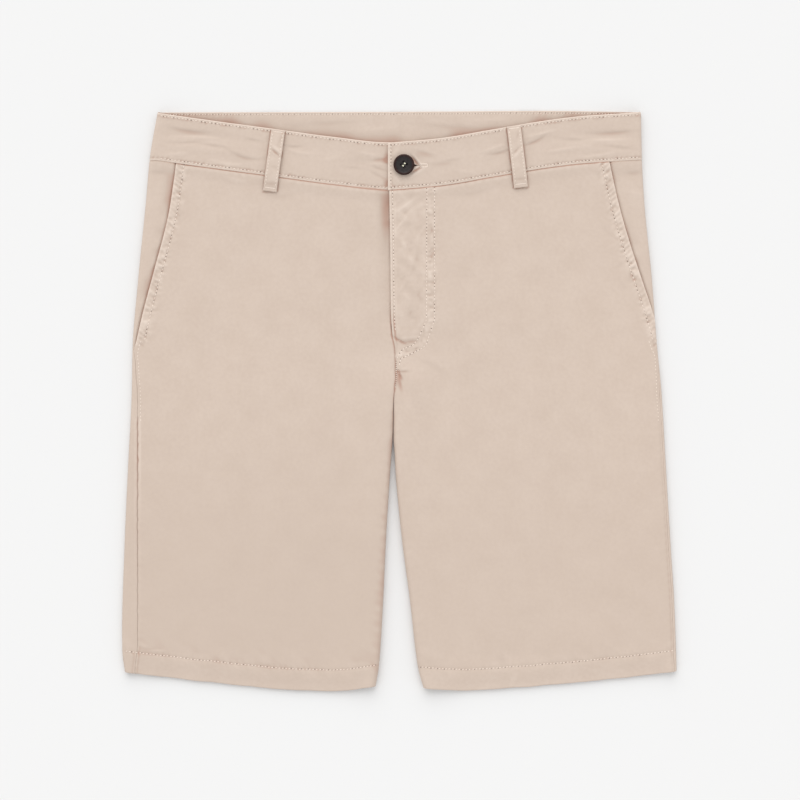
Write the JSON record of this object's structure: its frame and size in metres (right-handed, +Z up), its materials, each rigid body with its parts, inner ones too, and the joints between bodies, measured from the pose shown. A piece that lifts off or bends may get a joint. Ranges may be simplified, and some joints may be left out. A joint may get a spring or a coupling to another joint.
{
  "type": "bermuda shorts",
  "caption": "Chino bermuda shorts laid flat, front up, with a buttoned waistband, belt loops, a fly and slanted side pockets.",
  "frame": {"origin": "bottom centre of the bounding box, on the surface that the shorts lie on", "axes": "+X to the wearer's left, +Y from the hems to the waist, +Z up from the surface, out of the front"},
  "size_m": [0.4765, 0.4996, 0.0115],
  "materials": {
    "twill": "fine matt cotton twill in a light pinkish beige",
    "horn": "satin dark brown, almost black"
  },
  "bodies": {
    "root": {"front_right": "twill", "front_left": "twill", "back_right": "twill", "back_left": "twill", "pocket_facing_right": "twill", "pocket_facing_left": "twill", "waistband_front_right": "twill", "waistband_front_left": "twill", "waistband_back": "twill", "belt_loop_front_right": "twill", "belt_loop_front_left": "twill", "belt_loop_back_right": "twill", "belt_loop_back_centre": "twill", "belt_loop_back_left": "twill", "button": "horn"}
  },
  "joints": []
}
